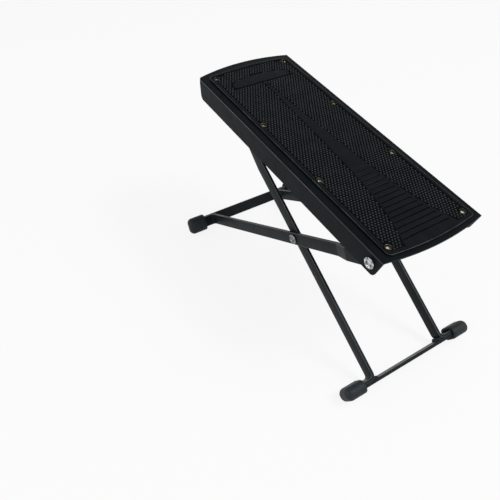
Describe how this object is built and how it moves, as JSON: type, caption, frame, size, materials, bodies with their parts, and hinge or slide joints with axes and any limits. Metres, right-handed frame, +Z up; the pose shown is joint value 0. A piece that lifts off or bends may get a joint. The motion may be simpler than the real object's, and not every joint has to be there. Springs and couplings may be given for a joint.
{
  "type": "guitar footrest",
  "caption": "Folding guitar footrest: a rubber-treaded steel plate on crossed flat-bar legs with rubber feet and a notched height rack under the plate.",
  "frame": {"origin": "on the floor under the middle of the standing footrest's bounding box", "axes": "+X towards the low (heel) end of the plate, +Y towards the right-hand legs, +Z up"},
  "size_m": [0.3092, 0.1668, 0.1968],
  "materials": {
    "plate_paint": "satin charcoal enamel",
    "frame_paint": "satin black enamel",
    "mat_rubber": "moulded matt black rubber with raised dots",
    "foot_rubber": "moulded matt black rubber",
    "zinc_rivet": "bright zinc plate",
    "zinc_plain": "dull zinc plate",
    "mat_rivet_metal": "nickel-washed brass"
  },
  "bodies": {
    "plate": {"foot_plate": "plate_paint", "tread_mat": "mat_rubber", "mat_rivets": "mat_rivet_metal", "rack_left": "plate_paint", "rack_right": "plate_paint", "pivot_rivet_left": "zinc_rivet", "pivot_rivet_right": "zinc_rivet", "pivot_washer_left": "zinc_plain", "pivot_washer_right": "zinc_plain"},
    "outer_frame": {"outer_leg_left": "frame_paint", "outer_leg_right": "frame_paint", "outer_crossbar": "frame_paint", "outer_welds": "frame_paint", "outer_foot_left": "foot_rubber", "outer_foot_right": "foot_rubber", "scissor_rivet_left": "zinc_rivet", "scissor_rivet_right": "zinc_rivet", "scissor_washer_left": "zinc_plain", "scissor_washer_right": "zinc_plain"},
    "inner_frame": {"inner_leg_left": "frame_paint", "inner_leg_right": "frame_paint", "inner_crossbar": "frame_paint", "inner_welds": "frame_paint", "inner_foot_left": "foot_rubber", "inner_foot_right": "foot_rubber", "locking_rod": "zinc_plain"}
  },
  "joints": [
    {"name": "outer_fold", "type": "hinge", "parent": "plate", "child": "outer_frame", "pos_m": [0.12459, 0, 0.14905], "axis": [0, 1, 0], "range_deg": [-5.4, 35]},
    {"name": "scissor", "type": "hinge", "parent": "outer_frame", "child": "inner_frame", "pos_m": [0.02003, 0, 0.09437], "axis": [0, 1, 0], "range_deg": [-61.6, 9.5]}
  ],
  "couplings": [
    {"joint": "scissor", "follows": "outer_fold", "ratio": -1.76}
  ]
}
